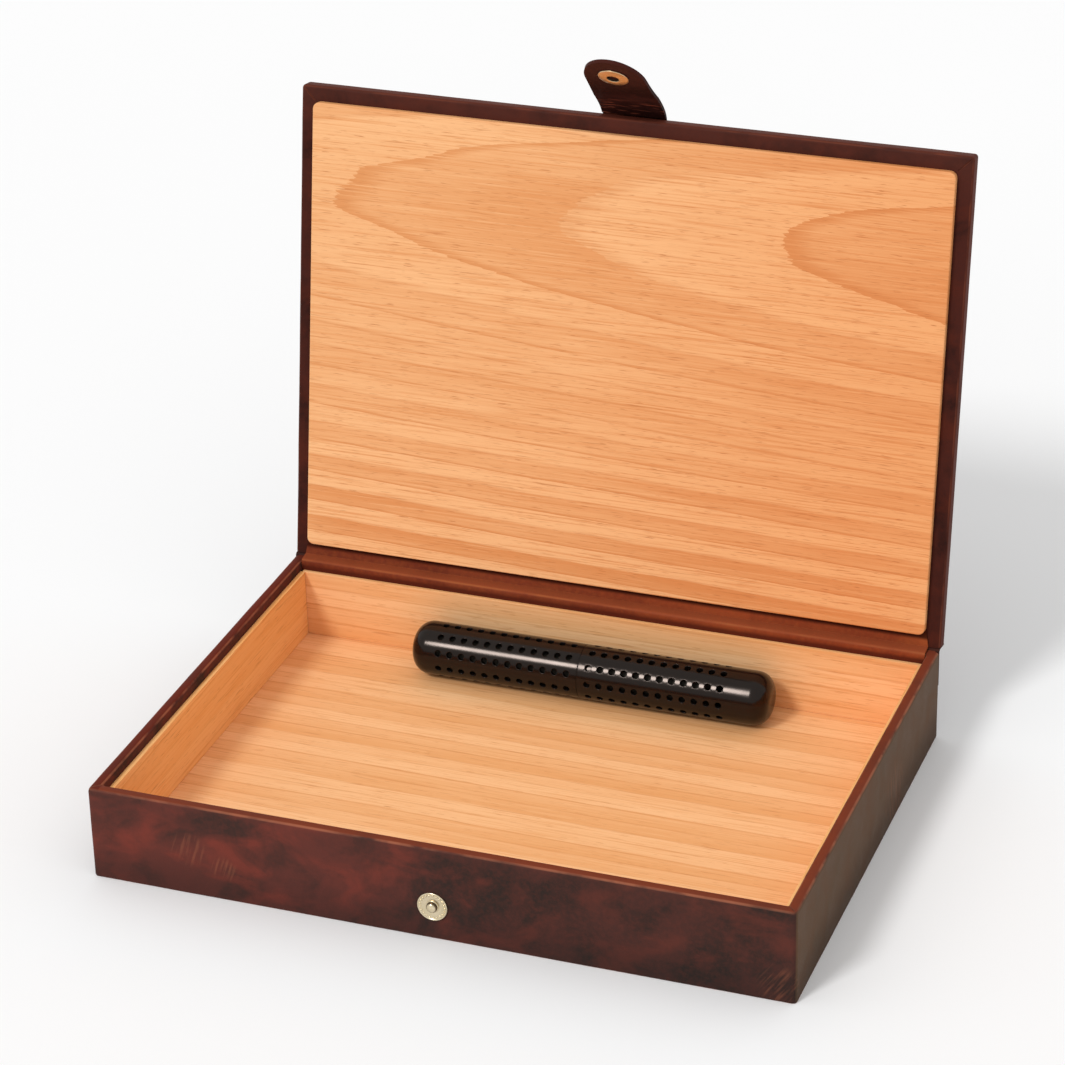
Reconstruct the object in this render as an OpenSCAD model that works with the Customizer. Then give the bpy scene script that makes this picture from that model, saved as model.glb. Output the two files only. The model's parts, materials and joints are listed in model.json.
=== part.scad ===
// Leather-covered cigar humidor: a shallow cedar-lined box with a leather-hinged lid,
// a closing tab with a press stud, and a loose perforated humidifier tube.
// Millimetres. +X runs right, +Y back and +Z up, from the middle of the underside.
// The lid stands open and the tab leans forward, which is how the box is shown.

/* [Box] */
// Outside width of the box
box_w = 250; // [200:1:320]
// Outside depth of the box
box_d = 180; // [150:1:240]
// Height of the base, up to its leather rim
base_h = 35; // [31:0.5:60]
// Thickness of the four wall boards
wall_board_t = 2.6; // [2:0.1:5]
// Thickness of the bottom board
bottom_board_t = 2.2; // [1.5:0.1:5]
// Thickness of the sheet glued underneath
underside_t = 0.8; // [0.5:0.1:2]
// Set-in of the underside sheet from the outer faces
underside_inset = 1.2; // [1:0.1:4]

/* [Leather] */
// Thickness of the covering leather
leather_t = 0.8; // [0.6:0.1:1.2]
// Depth of the leather turned down inside the walls
turn_down = 12; // [8:0.5:13]
// Height of the hinge leather on the back face
spine_h = 14; // [8:0.5:22]

/* [Cedar lining] */
// Thickness of the cedar floor
floor_t = 2; // [1.5:0.1:4]
// Thickness of the cedar wall liners
liner_t = 2; // [1.5:0.1:4]
// Drop of the liner tops below the rim
liner_drop = 3.6; // [3.2:0.1:6]
// Gap left round the cedar floor and at the liner ends
cedar_gap = 0.1; // [0.05:0.05:0.3]

/* [Lid] */
// Thickness of the lid with its leather
lid_t = 6.7; // [4:0.1:10]
// Gap between the rim and the closed lid
rim_gap = 0.3; // [0.2:0.05:0.4]
// Angle at which the lid stands open, from closed
lid_open = 99; // [92:1:106]
// Width of the leather border round the cedar panel
lid_border = 5.4; // [5.2:0.1:9]
// Height of the cedar panel above the border
panel_raise = 2.7; // [1.5:0.1:3.2]
// Radius of the cedar panel's corners
panel_corner_r = 2.5; // [1:0.1:6]

/* [Tab] */
// Width of the tab at its root
tab_w = 23; // [21:0.5:40]
// Radius of the tab's round tip, about the press stud
tab_tip_r = 10; // [7:0.5:10.5]
// Thickness of each of the tab's two plies
tab_ply_t = 1; // [0.8:0.1:1.6]
// Length of the sewn-down root on the lid
tab_root_l = 24; // [15:1:40]
// Corner radius at the back of the root
tab_root_r = 3; // [1:0.5:8]
// Gap behind the closed tab, which the press stud fills
tab_gap = 3; // [2.9:0.1:4]
// Start of the inner ply below the fold line
tab_lining_start = 3; // [2:0.5:6]
// Angle at which the tab leans forward from the lid's plane
tab_lean = 57; // [40:1:70]

/* [Press stud] */
// Height of the stud's centre above the underside
stud_z = 12.75; // [11:0.25:15]
// Diameter of the stud's flange
stud_d = 10.7; // [9:0.1:13]
// Thickness of the stud's flange
stud_flange_t = 0.7; // [0.5:0.1:0.8]
// Height of the stud's head above the leather
stud_head_h = 2.2; // [2:0.05:2.25]
// Diameter of the stud's head
stud_head_d = 3.8; // [3.4:0.1:4]
// Diameter of the rivet and cap posts
post_d = 3; // [2.5:0.1:3.2]
// Radial clearance round the posts
post_gap = 0.1; // [0.05:0.05:0.3]
// Diameter of the rivet's flange inside the wall
rivet_flange_d = 8; // [6:0.1:10]
// Diameter of the socket's flange
socket_d = 11; // [10:0.1:13]
// Height of the socket above the tab's lining
socket_h = 1.9; // [1.7:0.05:2]
// Thickness of the socket's flange and floor
socket_floor_t = 0.5; // [0.3:0.05:0.55]
// Radial clearance between the stud's head and the socket's mouth
socket_gap = 0.5; // [0.45:0.05:0.6]
// Wire diameter of the ring spring
spring_wire_d = 0.6; // [0.4:0.05:0.65]
// Diameter of the cap on the outside of the tab
cap_d = 12; // [10:0.1:14]
// Height of the cap's dome
cap_h = 1.8; // [1.2:0.1:3]

/* [Humidifier] */
// Diameter of the tube
tube_d = 20; // [18:0.5:24]
// Length of the half with the spigot
tube_l = 66; // [64:0.5:80]
// Length of the half that pulls off
tube_cap_l = 71.5; // [62:0.5:80]
// Wall of both halves
tube_wall = 1.4; // [1:0.1:2]
// Edge radius of the closed ends
tube_end_r = 6.5; // [3:0.5:8]
// Length of the spigot inside the other half
spigot_l = 7; // [4:0.5:14]
// Wall of the spigot
spigot_wall = 1; // [0.8:0.1:1.4]
// Radial clearance of the spigot
spigot_gap = 0.15; // [0.1:0.05:0.3]
// Diameter of the vent holes
vent_d = 2.4; // [1.5:0.1:3]
// Spacing of the vent holes along a row
vent_pitch = 4.55; // [3.5:0.05:4.6]
// Vent holes in a row
vent_count = 12; // [6:1:12]
// Rows of vent holes round the tube
vent_rows = 10; // [6:1:12]
// First vent hole of each half, from its seam
vent_start = 4; // [3.6:0.1:5]
// Turn of the spigot half's rows
tube_turn = 35; // [0:1:36]
// Turn of the other half's rows
tube_cap_turn = 16; // [0:1:36]
// Length of the absorbent stick
core_l = 112; // [80:1:118]
// Radial clearance round the absorbent stick
core_gap = 0.35; // [0.2:0.05:1]
// Gap between the tube and the back liner
tube_back_gap = 3.3; // [2:0.1:8]
// Gap between the tube and the cedar floor
tube_floor_gap = 0.3; // [0.2:0.05:0.5]
// Distance of the tube's seam left of the box's middle
tube_seam_left = 2.8; // [0:0.1:8]

/* [Hidden] */
$fn = 96;
vent_fn = 24;
cut = 1;

leather_color = "#4a2a24";
rim_color = "#6b3524";
cedar_color = "#efa968";
board_color = "#b79368";
metal_color = "#d5c3a4";
tube_color = "#1b1718";
core_color = "#38342f";

// Outer faces of the boards and inner faces of the covered walls
half_w = box_w / 2;
half_d = box_d / 2;
board_x = half_w - leather_t;
board_y = half_d - leather_t;
board_in_x = board_x - wall_board_t;
board_in_y = board_y - wall_board_t;
wall_in_x = board_in_x - leather_t;
wall_in_y = board_in_y - leather_t;
wall_w = half_w - wall_in_x;
wall_z = underside_t + bottom_board_t;
board_top = base_h - leather_t;
turn_z = base_h - turn_down;

// Cedar lining
floor_top = wall_z + floor_t;
liner_top = base_h - liner_drop;
liner_in_x = wall_in_x - liner_t;
liner_in_y = wall_in_y - liner_t;

// Hinge line, and the lid as it lies when closed
hinge_y = half_d;
hinge_z = base_h + rim_gap / 2;
lid_in = base_h + rim_gap;
lid_out = lid_in + lid_t;
lid_board_in = lid_in + leather_t;
lid_board_out = lid_out - leather_t;
glue_line = 0.02;
panel_x = half_w - lid_border;
panel_y = half_d - lid_border;

// Fold line of the tab and the place of the press stud along it
lining_face = tab_ply_t * 1.5;
fold_y = -half_d - tab_gap - lining_face;
fold_z = lid_out + tab_ply_t / 2;
fold_gap = 0.3;
stud_reach = fold_z - stud_z;

// Press stud
post_bore_d = post_d + 2 * post_gap;
rivet_flange_t = leather_t - 2 * cedar_gap;
mouth_r = stud_head_d / 2 + socket_gap;
spring_r = mouth_r + spring_wire_d / 4;

// Humidifier
tube_r = tube_d / 2;
tube_y = liner_in_y - tube_back_gap - tube_r;
tube_z = floor_top + tube_floor_gap + tube_r;
bore_r = tube_r - tube_wall;
spigot_r = bore_r - spigot_gap;
spigot_in_r = spigot_r - spigot_wall;
spigot_root = 2;
core_r = spigot_in_r - core_gap;

// Point (y, z) of the closed lid, swung to where the lid stands open
function swung(y, z) = let (dy = y - hinge_y, dz = z - hinge_z) [
    hinge_y + dy * cos(lid_open) + dz * sin(lid_open),
    hinge_z - dy * sin(lid_open) + dz * cos(lid_open)
];

// Box from its lowest to its highest corner
module block(low, high) {
    translate(low) cube(high - low);
}

// Profile in (y, z), drawn out along X and centred
module along_x(length) {
    rotate([90, 0, 90]) linear_extrude(height = length, center = true) children();
}

// Places a piece of the closed lid where the lid stands open
module open_lid() {
    translate([0, hinge_y, hinge_z]) rotate([-lid_open, 0, 0]) translate([0, -hinge_y, -hinge_z]) children();
}

// Places a piece of the hanging tab, drawn from its fold line, where the tab leans
module leaning_tab() {
    open_lid() translate([0, fold_y, fold_z]) rotate([tab_lean - 90, 0, 0]) children();
}

// Places a turned piece of the press stud on the front face, its axis pointing forward
module on_front() {
    translate([0, -half_d, stud_z]) rotate([90, 0, 0]) children();
}

// Places a turned piece on the tab, its axis pointing from the lining towards the box
module on_tab_lining() {
    leaning_tab() translate([0, lining_face, -stud_reach]) rotate([-90, 0, 0]) children();
}

// Covered wall: outer face, rim and inner turn-down, wall along X with its outer face at y = 0
module wall_leather_profile() {
    difference() {
        square([wall_w, base_h]);
        translate([leather_t, -cut]) square([wall_board_t, board_top + cut]);
        translate([leather_t, -cut]) square([wall_w, turn_z + cut]);
    }
}

// Plan of the front wall with its ends cut on the mitre
module front_mitre() {
    linear_extrude(height = base_h) polygon([
        [-half_w, -half_d],
        [half_w, -half_d],
        [half_w - wall_w, wall_w - half_d],
        [wall_w - half_w, wall_w - half_d]
    ]);
}

module bottom_board() {
    color(board_color) block([-board_x, -board_y, underside_t], [board_x, board_y, wall_z]);
}

module front_board() {
    color(board_color) difference() {
        block([-board_x, -board_y, wall_z], [board_x, -board_in_y, board_top]);
        on_front() translate([0, 0, -wall_w]) cylinder(d = post_bore_d, h = wall_w);
    }
}

module back_board() {
    color(board_color) block([-board_x, board_in_y, wall_z], [board_x, board_y, board_top]);
}

module left_board() {
    color(board_color) block([-board_x, -board_in_y, wall_z], [-board_in_x, board_in_y, board_top]);
}

module right_board() {
    color(board_color) mirror([1, 0, 0]) left_board();
}

module front_leather() {
    color(leather_color) difference() {
        intersection() {
            translate([0, -half_d, 0]) along_x(box_w) wall_leather_profile();
            front_mitre();
        }
        on_front() translate([0, 0, -wall_w]) cylinder(d = post_bore_d, h = wall_w + cut);
    }
}

// Side wall's leather, whose turn-down stops at the back board while its rim runs on over it
module left_leather() {
    color(leather_color) difference() {
        translate([-half_w, -leather_t / 2, 0]) rotate([0, 0, -90])
            along_x(box_d - leather_t) wall_leather_profile();
        front_mitre();
        block([-board_in_x - cut, board_in_y, turn_z - cut], [cut - wall_in_x, half_d, board_top]);
    }
}

module right_leather() {
    color(leather_color) mirror([1, 0, 0]) left_leather();
}

module back_leather() {
    color(leather_color) block([-half_w, board_y, 0], [half_w, half_d, base_h - spine_h]);
}

module underside_cover() {
    color(leather_color) block(
        [underside_inset - half_w, underside_inset - half_d, 0],
        [half_w - underside_inset, half_d - underside_inset, underside_t]
    );
}

module cedar_floor() {
    floor_x = board_in_x - cedar_gap;
    floor_y = board_in_y - cedar_gap;
    color(cedar_color) block([-floor_x, -floor_y, wall_z], [floor_x, floor_y, floor_top]);
}

module cedar_back_liner() {
    liner_x = wall_in_x - cedar_gap;
    color(cedar_color) block([-liner_x, liner_in_y, floor_top], [liner_x, wall_in_y, liner_top]);
}

module cedar_front_liner() {
    color(cedar_color) mirror([0, 1, 0]) cedar_back_liner();
}

module cedar_left_liner() {
    liner_y = liner_in_y - cedar_gap;
    color(cedar_color) block([-wall_in_x, -liner_y, floor_top], [-liner_in_x, liner_y, liner_top]);
}

module cedar_right_liner() {
    color(cedar_color) mirror([1, 0, 0]) cedar_left_liner();
}

// Mushroom head on a flat flange
module snap_stud() {
    head_r = stud_head_d / 2;
    lip_r = (stud_head_h - stud_flange_t) / 2;
    color(metal_color) on_front() rotate_extrude() {
        square([stud_d / 2, stud_flange_t]);
        square([head_r - lip_r, stud_head_h]);
        translate([head_r - lip_r, stud_head_h - lip_r]) circle(r = lip_r);
    }
}

// Tubular rivet through the wall, with its flange behind the board
module snap_stud_rivet() {
    color(metal_color) on_front() {
        translate([0, 0, -leather_t - wall_board_t]) cylinder(d = post_d, h = leather_t + wall_board_t);
        translate([0, 0, -leather_t - wall_board_t - rivet_flange_t])
            cylinder(d = rivet_flange_d, h = rivet_flange_t);
    }
}

// Leather from the back face over the lid's back edge, folded on the hinge line
module hinge_spine() {
    fold_r = leather_t * 0.4;
    color(leather_color) {
        block([-half_w, board_y, base_h - spine_h], [half_w, half_d, base_h]);
        open_lid() block([-half_w, board_y, lid_in], [half_w, half_d, lid_out]);
        translate([0, hinge_y, hinge_z]) rotate([0, 90, 0]) cylinder(r = fold_r, h = box_w, center = true);
    }
}

// Leather from inside the back wall, over its rim and up to the cedar panel
module hinge_lining() {
    bridge_y = board_y - leather_t;
    glued_face = lid_board_in - glue_line;
    color(rim_color) {
        along_x(2 * wall_in_x) polygon([
            [wall_in_y, turn_z],
            [wall_in_y, base_h],
            [board_y, base_h],
            [board_y, board_top],
            [board_in_y, board_top],
            [board_in_y, turn_z]
        ]);
        along_x(2 * panel_x) polygon([
            [board_y, base_h],
            [bridge_y, base_h],
            swung(bridge_y, lid_in),
            swung(panel_y, lid_in),
            swung(panel_y, glued_face),
            swung(board_y, glued_face),
            swung(board_y, lid_in)
        ]);
    }
}

module lid_board() {
    color(board_color) open_lid()
        block([-board_x, -board_y, lid_board_in], [board_x, board_y, lid_board_out]);
}

// Leather over the outside and three edges, turned in as a border round the cedar panel
module lid_leather() {
    color(leather_color) open_lid() difference() {
        block([-half_w, -half_d, lid_in], [half_w, board_y, lid_out]);
        block([-board_x, -board_y, lid_board_in], [board_x, half_d, lid_board_out]);
        block([-panel_x, -panel_y, lid_in - cut], [panel_x, half_d, lid_board_in]);
    }
}

module lid_cedar_panel() {
    corner_x = panel_x - cedar_gap - panel_corner_r;
    corner_y = panel_y - cedar_gap - panel_corner_r;
    color(cedar_color) open_lid() translate([0, 0, lid_in - panel_raise])
        linear_extrude(height = panel_raise + leather_t) {
            square(2 * [corner_x + panel_corner_r, corner_y], center = true);
            square(2 * [corner_x, corner_y + panel_corner_r], center = true);
            for (x = [-corner_x, corner_x], y = [-corner_y, corner_y])
                translate([x, y]) circle(r = panel_corner_r);
        }
}

// End of the tab sewn down on the lid, up to just short of the fold line
module tab_root() {
    root_y = tab_root_l - half_d;
    end_y = fold_y + tab_ply_t / 2 + fold_gap;
    corner_x = tab_w / 2 - tab_root_r;
    color(leather_color) open_lid() translate([0, 0, lid_out]) linear_extrude(height = tab_ply_t) {
        translate([-tab_w / 2, end_y]) square([tab_w, root_y - tab_root_r - end_y]);
        translate([-corner_x, end_y]) square([2 * corner_x, root_y - end_y]);
        for (x = [-corner_x, corner_x])
            translate([x, root_y - tab_root_r]) circle(r = tab_root_r);
    }
}

// Tongue outline, hanging from the fold line at y = 0 to its round tip
module tongue_outline() {
    corner_reach = norm([tab_w / 2, stud_reach]);
    touch_angle = atan2(tab_w / 2, stud_reach) + acos(tab_tip_r / corner_reach);
    touch = tab_tip_r * [sin(touch_angle), cos(touch_angle)];
    polygon([
        [-tab_w / 2, 0],
        [-touch.x, touch.y - stud_reach],
        [touch.x, touch.y - stud_reach],
        [tab_w / 2, 0]
    ]);
    translate([0, -stud_reach]) circle(r = tab_tip_r);
}

// One ply of the tongue, from its outer face inwards, with the bore for the cap's post
module tongue_ply(outer_face) {
    translate([0, outer_face + tab_ply_t, 0]) rotate([90, 0, 0]) linear_extrude(height = tab_ply_t)
        difference() {
            tongue_outline();
            translate([0, -stud_reach]) circle(d = post_bore_d);
        }
}

module tab_strap() {
    color(leather_color) leaning_tab() {
        tongue_ply(-tab_ply_t / 2);
        rotate([0, 90, 0]) cylinder(d = tab_ply_t, h = tab_w, center = true);
    }
}

module tab_lining() {
    color(leather_color) leaning_tab() difference() {
        tongue_ply(tab_ply_t / 2);
        translate([-tab_w, 0, -tab_lining_start]) cube([2 * tab_w, 2 * tab_ply_t, tab_w]);
    }
}

// Flanged cup that takes the stud's head
module snap_socket() {
    cup_r = (mouth_r + socket_d / 2) / 2;
    spring_room = spring_r + spring_wire_d;
    color(metal_color) on_tab_lining() difference() {
        rotate_extrude() {
            square([socket_d / 2, socket_floor_t]);
            square([cup_r, socket_h]);
        }
        translate([0, 0, -cut]) cylinder(d = post_bore_d, h = socket_h);
        translate([0, 0, socket_floor_t]) cylinder(r = mouth_r, h = socket_h);
        translate([0, 0, socket_floor_t]) cylinder(r = spring_room, h = spring_wire_d + post_gap);
    }
}

// Ring spring in the cup's groove
module snap_spring() {
    color(metal_color) on_tab_lining() translate([0, 0, socket_floor_t + spring_wire_d / 2])
        rotate_extrude() translate([spring_r, 0]) circle(d = spring_wire_d);
}

// Domed cap on the tab's outside, with the post that is spread inside the socket
module snap_cap() {
    outer_depth = 2 * tab_ply_t;
    dome_r = (pow(cap_d / 2, 2) + pow(cap_h, 2)) / (2 * cap_h);
    color(metal_color) on_tab_lining() {
        translate([0, 0, -outer_depth]) cylinder(d = post_d, h = outer_depth + socket_floor_t);
        translate([0, 0, -outer_depth]) rotate([180, 0, 0]) rotate_extrude() intersection() {
            translate([0, cap_h - dome_r]) circle(r = dome_r);
            square([cap_d / 2, cap_h]);
        }
    }
}

// Half section of a tube with one closed, rounded end at y = 0
module tube_section(r, end_r, length) {
    square([r - end_r, length]);
    translate([0, end_r]) square([r, length - end_r]);
    translate([r - end_r, end_r]) intersection() {
        circle(r = end_r);
        translate([0, -end_r]) square(end_r);
    }
}

// Shell of one half of the humidifier, closed end at z = 0, with its rows of vents
module perforated_half(length, turn) {
    difference() {
        rotate_extrude() difference() {
            tube_section(tube_r, tube_end_r, length);
            translate([0, tube_wall]) tube_section(bore_r, tube_end_r - tube_wall, length);
        }
        for (row = [0 : vent_rows - 1], hole = [0 : vent_count - 1])
            rotate([0, 0, turn + row * 360 / vent_rows])
                translate([bore_r - cut, 0, length - vent_start - hole * vent_pitch])
                    rotate([0, 90, 0]) cylinder(d = vent_d, h = tube_wall + 2 * cut, $fn = vent_fn);
    }
}

// Places the humidifier, drawn up from its seam, along the back of the box
module on_humidifier_seam() {
    translate([-tube_seam_left, tube_y, tube_z]) rotate([0, 90, 0]) children();
}

module humidifier_tube() {
    color(tube_color) on_humidifier_seam() {
        translate([0, 0, -tube_l]) perforated_half(tube_l, tube_turn);
        rotate_extrude() {
            translate([spigot_in_r, -spigot_root]) square([spigot_wall, spigot_root + spigot_l]);
            translate([spigot_in_r, -spigot_root]) square([bore_r - spigot_in_r + spigot_gap, spigot_root]);
        }
    }
}

module humidifier_cap() {
    color(tube_color) on_humidifier_seam() translate([0, 0, tube_cap_l]) mirror([0, 0, 1])
        perforated_half(tube_cap_l, tube_cap_turn);
}

// Absorbent stick that stands on the closed end of the spigot half
module humidifier_core() {
    color(core_color) on_humidifier_seam() translate([0, 0, tube_wall - tube_l])
        rotate_extrude() tube_section(core_r, tube_end_r - tube_wall, core_l);
}

bottom_board();
front_board();
back_board();
left_board();
right_board();
front_leather();
back_leather();
left_leather();
right_leather();
underside_cover();
cedar_floor();
cedar_front_liner();
cedar_back_liner();
cedar_left_liner();
cedar_right_liner();
snap_stud();
snap_stud_rivet();
hinge_spine();
hinge_lining();
lid_board();
lid_leather();
lid_cedar_panel();
tab_root();
tab_strap();
tab_lining();
snap_socket();
snap_spring();
snap_cap();
humidifier_tube();
humidifier_core();
humidifier_cap();
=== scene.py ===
"""Looks of the leather-covered cigar humidor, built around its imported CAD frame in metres."""

import functools
import json
import math

import bmesh
import bpy
from mathutils import Euler, Matrix, Vector


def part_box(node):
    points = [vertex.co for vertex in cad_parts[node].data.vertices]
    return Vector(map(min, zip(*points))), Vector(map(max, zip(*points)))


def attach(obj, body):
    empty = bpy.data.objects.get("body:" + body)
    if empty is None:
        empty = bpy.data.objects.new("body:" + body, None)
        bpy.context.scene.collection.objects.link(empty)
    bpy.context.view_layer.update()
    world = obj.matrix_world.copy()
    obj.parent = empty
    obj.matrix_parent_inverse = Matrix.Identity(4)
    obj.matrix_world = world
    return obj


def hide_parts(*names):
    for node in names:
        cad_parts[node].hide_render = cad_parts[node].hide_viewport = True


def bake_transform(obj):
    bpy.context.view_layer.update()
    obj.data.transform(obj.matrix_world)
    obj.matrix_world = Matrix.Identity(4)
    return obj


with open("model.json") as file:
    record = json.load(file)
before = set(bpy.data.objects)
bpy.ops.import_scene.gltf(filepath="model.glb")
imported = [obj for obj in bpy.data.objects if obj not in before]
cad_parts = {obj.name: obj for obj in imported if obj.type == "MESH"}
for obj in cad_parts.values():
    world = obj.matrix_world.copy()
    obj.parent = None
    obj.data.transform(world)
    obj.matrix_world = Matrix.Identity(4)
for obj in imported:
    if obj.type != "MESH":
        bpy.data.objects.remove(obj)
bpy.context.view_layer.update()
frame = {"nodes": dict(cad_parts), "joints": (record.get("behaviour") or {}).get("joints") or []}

# Studio: a wide white floor, an even white surround and one broad soft lamp above, in front and on the left.
# The camera stands where the photograph was taken from, a little to the right and looking down.
MM = 0.001


def linear(code):
    """Linear colour of an sRGB hex code."""
    parts = [int(code[i:i + 2], 16) / 255 for i in (1, 3, 5)]
    return [c / 12.92 if c <= 0.04045 else ((c + 0.055) / 1.055) ** 2.4 for c in parts] + [1.0]


SMOOTH = {"interpolation_type": "SMOOTHSTEP"}
RGBA = {"data_type": "RGBA"}
RGBA_TIMES = {"data_type": "RGBA", "blend_type": "MULTIPLY"}
TIMES = {"operation": "MULTIPLY"}
TIMES_PLUS = {"operation": "MULTIPLY_ADD"}


def add_node(tree, kind, links=None, settings=None):
    """Adds a shader node, and feeds its sockets with values, hex colours, sockets or whole nodes.

    A whole node feeds with the first of its outputs that is in use."""
    node = tree.nodes.new("ShaderNode" + kind)
    for name, value in (settings or {}).items():
        setattr(node, name, value)
    for socket, value in (links or {}).items():
        if isinstance(value, bpy.types.Node):
            value = next(output for output in value.outputs if output.enabled)
        if isinstance(value, bpy.types.NodeSocket):
            tree.links.new(value, node.inputs[socket])
        else:
            node.inputs[socket].default_value = linear(value) if isinstance(value, str) else value
    return node


def new_material(name):
    """An empty node material, and the function that adds nodes to it."""
    material = bpy.data.materials.new(name)
    material.use_nodes = True
    material.node_tree.nodes.clear()
    return material, functools.partial(add_node, material.node_tree)


def cover(piece, material):
    """Makes a material the only one of a piece."""
    piece.data.materials.clear()
    piece.data.materials.append(material)


world_level = 0.79
world = bpy.data.worlds.new("studio_surround")
world.use_nodes = True
world.node_tree.nodes["Background"].inputs["Color"].default_value = linear("#ffffff")
world.node_tree.nodes["Background"].inputs["Strength"].default_value = world_level
bpy.context.scene.world = world
bpy.context.scene.view_settings.view_transform = "Standard"

# Matt painted floor: white all over, with a faint mottle of the roller
floor_size = 14.0
floor_mottle = 0.4
bpy.ops.mesh.primitive_plane_add(size=floor_size)
studio_floor = bpy.context.object
studio_floor.name = "studio_floor"
floor_paint, add = new_material("matt_white_floor_paint")
place = add("TexCoord").outputs["Object"]
mottle = add("TexNoise", {"Vector": place, "Scale": 1 / floor_mottle})
colour = add("Mix", {0: mottle, 6: "#f3f3f3", 7: "#f5f5f5"}, RGBA)
paint = add("BsdfDiffuse", {"Color": colour})
add("OutputMaterial", {"Surface": paint})
cover(studio_floor, floor_paint)

lamp_direction = Vector((-0.29, -0.68, 0.68)).normalized()
lamp_spread = math.radians(13)
lamp_strength = 1.38
lamp_data = bpy.data.lights.new("soft_lamp", "SUN")
lamp_data.angle = lamp_spread
lamp_data.energy = lamp_strength
lamp = bpy.data.objects.new("soft_lamp", lamp_data)
lamp.rotation_euler = lamp_direction.to_track_quat("Z", "Y").to_euler()
bpy.context.scene.collection.objects.link(lamp)

camera_place = Vector((0.401884, -1.053877, 0.686475))
camera_azimuth = math.radians(20.6531)
camera_elevation = math.radians(27.1823)
camera_roll = math.radians(-1.4440)
camera_data = bpy.data.cameras.new("camera")
camera_data.sensor_width = 36.0
camera_data.lens = 126.487
camera = bpy.data.objects.new("camera", camera_data)
aim = Euler((math.pi / 2 - camera_elevation, 0, camera_azimuth)).to_matrix().to_4x4()
camera.matrix_world = Matrix.Translation(camera_place) @ aim @ Matrix.Rotation(camera_roll, 4, "Z")
bpy.context.scene.collection.objects.link(camera)
bpy.context.scene.camera = camera

# Boards: the box's carcass, thin boards glued edge to edge and hidden under leather and cedar.
# They are raw pressed board, pulpy and dull, and keep their CAD shapes.
board_fibre = 3.0 * MM
board_grit = 0.25 * MM
pressed_board, add = new_material("raw_pressed_board")
place = add("TexCoord").outputs["Object"]
fibre = add("TexNoise", {"Vector": place, "Scale": 1 / board_fibre, "Detail": 6.0})
grit = add("TexNoise", {"Vector": place, "Scale": 1 / board_grit, "Detail": 2.0})
colour = add("Mix", {0: fibre, 6: "#a98a62", 7: "#c9a97c"}, RGBA)
relief = add("Bump", {"Height": grit, "Strength": 0.4, "Distance": 0.1 * MM})
shader = add("BsdfPrincipled", {"Base Color": colour, "Roughness": 0.85, "Normal": relief})
add("OutputMaterial", {"Surface": shader})
for name in ("bottom_board", "front_board", "back_board", "left_board", "right_board", "lid_board"):
    cover(frame["nodes"][name], pressed_board)

# Base covering: one skin of waxed leather glued round the four walls, over their rim and down inside,
# mitred at the front corners. Pull-up leather is mottled: dark where waxed, redder where it was bent.
front_low, front_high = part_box("front_leather")
half_w = front_high.x
front_y = front_low.y
rim_z = front_high.z
rim_w = front_high.y - front_low.y
rim_in_x = half_w - rim_w
turn_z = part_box("hinge_lining")[0].z
joints = {joint["name"]: joint for joint in frame["joints"]}
hinge_at = Vector(joints["lid_hinge"]["pos_m"])
lid_open = math.radians(joints["lid_hinge"]["range_deg"][1])
strip_t = 0.6 * MM
back_y = hinge_at.y - strip_t
leather_t = 0.8 * MM
edge_r = 1.7 * MM
inner_edge_r = 1.4 * MM
turn_under = 1.1 * MM
under_edge_r = 0.6 * MM
wave_l = 22 * MM
wave_h = 0.16 * MM
seam_w = 0.8 * MM
cut_step = 6.0 * MM
near = 0.01 * MM


def open_new(name):
    """Names the piece that was just added, and opens it for editing."""
    piece = bpy.context.object
    piece.name = name
    piece.data.name = name
    bpy.ops.object.mode_set(mode="EDIT")
    return piece


def block(name, low, high):
    """A block between two corners, open for editing."""
    bpy.ops.mesh.primitive_cube_add(size=1, location=(low + high) / 2, scale=high - low)
    bpy.ops.object.transform_apply()
    return open_new(name)


def pick(kind, test):
    """Selects the open piece's vertices, edges or faces whose middle passes the test."""
    mesh = bpy.context.edit_object.data
    bpy.ops.mesh.select_mode(type=kind)
    bpy.ops.mesh.select_all(action="DESELECT")
    form = bmesh.from_edit_mesh(mesh)
    form.normal_update()
    parts = {"VERT": form.verts, "EDGE": form.edges, "FACE": form.faces}[kind]
    for part in parts:
        corners = [part.co] if kind == "VERT" else [v.co for v in part.verts]
        if test(sum(corners, Vector()) / len(corners), part):
            part.select_set(True)
    form.select_flush_mode()
    bmesh.update_edit_mesh(mesh)


def same(a, b):
    """Whether two lengths are the same place."""
    return abs(a - b) < near


def upright(edge):
    """Whether an edge runs up and down."""
    return not same(edge.verts[0].co.z, edge.verts[1].co.z)


def round_off(radius, segments, test):
    """Rounds the open piece's edges whose middle passes the test."""
    pick("EDGE", test)
    bpy.ops.mesh.bevel(offset=radius, segments=segments, affect="EDGES")


def pull_out(step):
    """Extrudes the open piece's selection by a step."""
    bpy.ops.mesh.extrude_region_move(TRANSFORM_OT_translate={"value": step})


def cut(axis, at):
    """Cuts the whole open piece across an axis."""
    normal = Vector([float(i == axis) for i in range(3)])
    bpy.ops.mesh.select_all(action="SELECT")
    bpy.ops.mesh.bisect(plane_co=normal * at, plane_no=normal)


def slice_up(axis, low, high, step):
    """Cuts the whole open piece across an axis at even steps."""
    count = round((high - low) / step)
    for i in range(1, count):
        cut(axis, low + (high - low) * i / count)


def apply(piece, kind, settings):
    """Gives the active piece a modifier with its settings and applies it."""
    modifier = piece.modifiers.new(kind, kind)
    for name, value in settings.items():
        setattr(modifier, name, value)
    bpy.ops.object.modifier_apply(modifier=modifier.name)


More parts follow.
